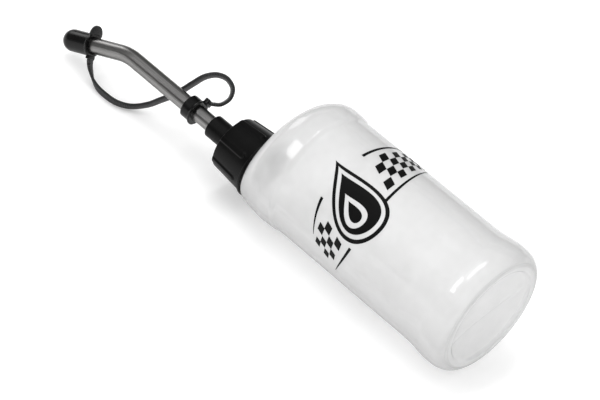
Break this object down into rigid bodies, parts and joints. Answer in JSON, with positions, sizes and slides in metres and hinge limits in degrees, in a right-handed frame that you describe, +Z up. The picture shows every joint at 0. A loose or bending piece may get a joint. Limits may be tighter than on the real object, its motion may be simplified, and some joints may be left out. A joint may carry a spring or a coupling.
{
  "type": "fuel filler bottle",
  "caption": "Round translucent squeeze bottle with an off-centre neck, ribbed screw cap, bent metal spout and a rubber tip cap on a strap.",
  "frame": {"origin": "centre of the base, on the body's axis, at the height of the standing ring", "axes": "+Z up along the body's axis towards the neck; -Y the printed front; -X the side the neck is offset to"},
  "size_m": [0.0747, 0.0712, 0.2777],
  "materials": {
    "milky_plastic": "translucent, glossy",
    "black_plastic": "satin",
    "spout_metal": "satin",
    "black_rubber": "satin",
    "seal_rubber": "matte",
    "strap_rubber": "matte"
  },
  "bodies": {
    "bottle": {"bottle": "milky_plastic"},
    "seal": {"cap_seal": "seal_rubber"},
    "cap": {"screw_cap": "black_plastic", "spout_tube": "spout_metal", "strap_ring": "black_rubber", "cap_strap": "strap_rubber"},
    "tip": {"tip_cap": "black_rubber"}
  },
  "joints": [
    {"name": "cap_rise", "type": "slide", "parent": "bottle", "child": "seal", "axis": [0, 0, 1], "range_m": [0, 0.018]},
    {"name": "cap_turn", "type": "hinge", "parent": "seal", "child": "cap", "pos_m": [-0.0155, 0, 0.158], "axis": [0, 0, 1], "range_deg": [0, 1440]},
    {"name": "tip_pull", "type": "slide", "parent": "cap", "child": "tip", "axis": [-0.3167, 0.2475, 0.9157], "range_m": [0, 0.016], "deforming": ["cap_strap"]}
  ],
  "couplings": [
    {"joint": "cap_turn", "follows": "cap_rise", "rad_per_m": 1396.2}
  ]
}
